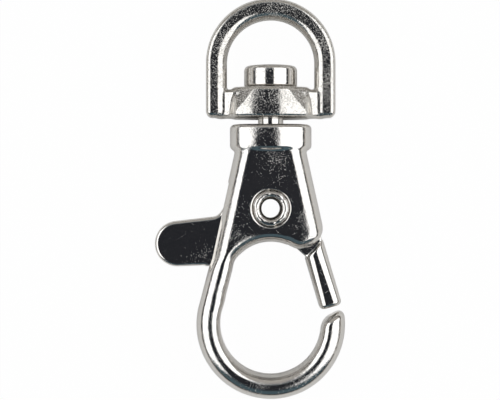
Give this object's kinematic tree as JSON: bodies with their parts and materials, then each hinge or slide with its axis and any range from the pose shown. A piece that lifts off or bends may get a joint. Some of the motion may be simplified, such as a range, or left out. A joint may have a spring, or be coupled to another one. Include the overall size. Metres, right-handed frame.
{
  "type": "swivel snap hook",
  "caption": "Small die-cast snap hook: round hook ring, slotted housing with a sprung thumb trigger that shuts the mouth, and a D-shaped bail that swivels on a headed pin.",
  "frame": {"origin": "middle of the bounding box's underside: the surface that the hook lies on", "axes": "+Y from the hook ring to the bail, +X to the mouth, +Z out of the front face"},
  "size_m": [0.018, 0.038, 0.0059],
  "materials": {
    "plated_casting": "nickel plate, bright, over a zinc die casting with fine pits and scratches",
    "plated_steel": "nickel plate on turned steel",
    "spring_steel": "drawn spring wire"
  },
  "bodies": {
    "hook": {"hook_body": "plated_casting", "swivel_pin": "plated_steel", "pivot_rivet": "plated_steel", "torsion_spring": "spring_steel"},
    "bail": {"bail": "plated_casting"},
    "trigger": {"trigger": "plated_casting"}
  },
  "joints": [
    {"name": "bail_swivel", "type": "hinge", "parent": "hook", "child": "bail", "pos_m": [0.00197, 0.00933, 0.00295], "axis": [0, 1, 0], "continuous": true},
    {"name": "trigger_pivot", "type": "hinge", "parent": "hook", "child": "trigger", "pos_m": [0.00197, -0.00094, 0.00295], "axis": [0, 0, -1], "range_deg": [0, 28], "stiffness_Nm_per_rad": 0.01, "springref_deg": -45.84, "deforming": ["torsion_spring"]}
  ]
}
